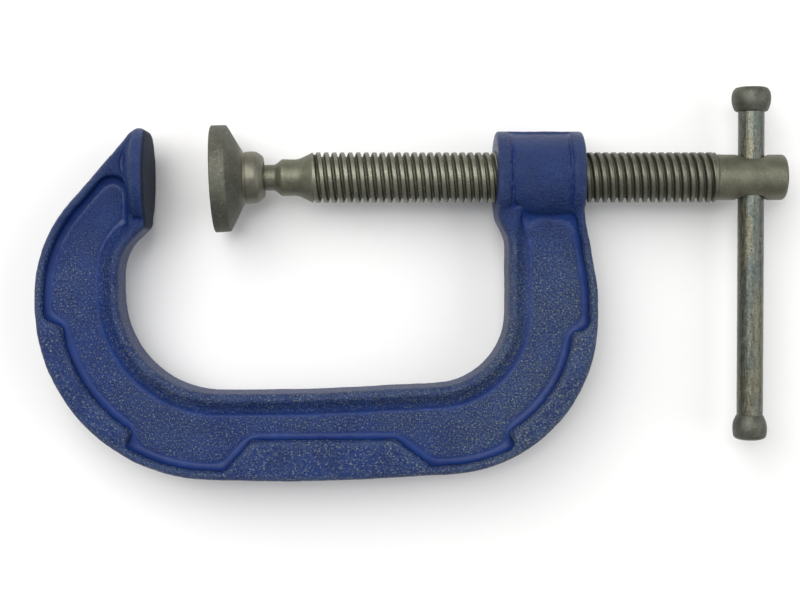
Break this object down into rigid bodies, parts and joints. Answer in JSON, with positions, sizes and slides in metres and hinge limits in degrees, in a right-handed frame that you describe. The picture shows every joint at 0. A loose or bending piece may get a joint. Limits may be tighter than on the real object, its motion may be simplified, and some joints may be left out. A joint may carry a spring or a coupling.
{
  "type": "c clamp",
  "caption": "Cast C-shaped clamp frame with a fixed round anvil, a coarse screw through a threaded boss, a swivelling pressing pad and a sliding cross bar to turn the screw.",
  "frame": {"origin": "centre of the anvil's flat face, on the screw's axis", "axes": "+X along the screw from the anvil towards the handle, +Y in the plane of the C away from the throat, +Z out of that plane, up when the clamp lies on its side"},
  "size_m": [0.187, 0.0981, 0.0266],
  "materials": {
    "frame_paint": "blue enamel over a sand-cast surface",
    "screw_steel": "matt grey phosphated steel with a rolled thread",
    "pad_steel": "matt grey phosphated steel, turned",
    "bar_zinc": "bright drawn bar with a zinc skin, scuffed",
    "bar_end_steel": "matt grey steel"
  },
  "bodies": {
    "frame_body": {"frame": "frame_paint"},
    "pad_body": {"swivel_pad": "pad_steel"},
    "screw_body": {"spindle": "screw_steel"},
    "bar_body": {"tommy_bar": "bar_zinc", "bar_knob": "bar_end_steel", "bar_ferrule": "bar_end_steel"}
  },
  "joints": [
    {"name": "screw_travel", "type": "slide", "parent": "frame_body", "child": "pad_body", "axis": [1, 0, 0], "range_m": [-0.0151, 0.0575]},
    {"name": "screw_turn", "type": "hinge", "parent": "pad_body", "child": "screw_body", "pos_m": [0.0244, 0, 0], "axis": [1, 0, 0], "continuous": true},
    {"name": "bar_slide", "type": "slide", "parent": "screw_body", "child": "bar_body", "axis": [0, 1, 0], "range_m": [-0.0107, 0.0541]}
  ],
  "couplings": [
    {"joint": "screw_turn", "follows": "screw_travel", "rad_per_m": 1570.8}
  ]
}
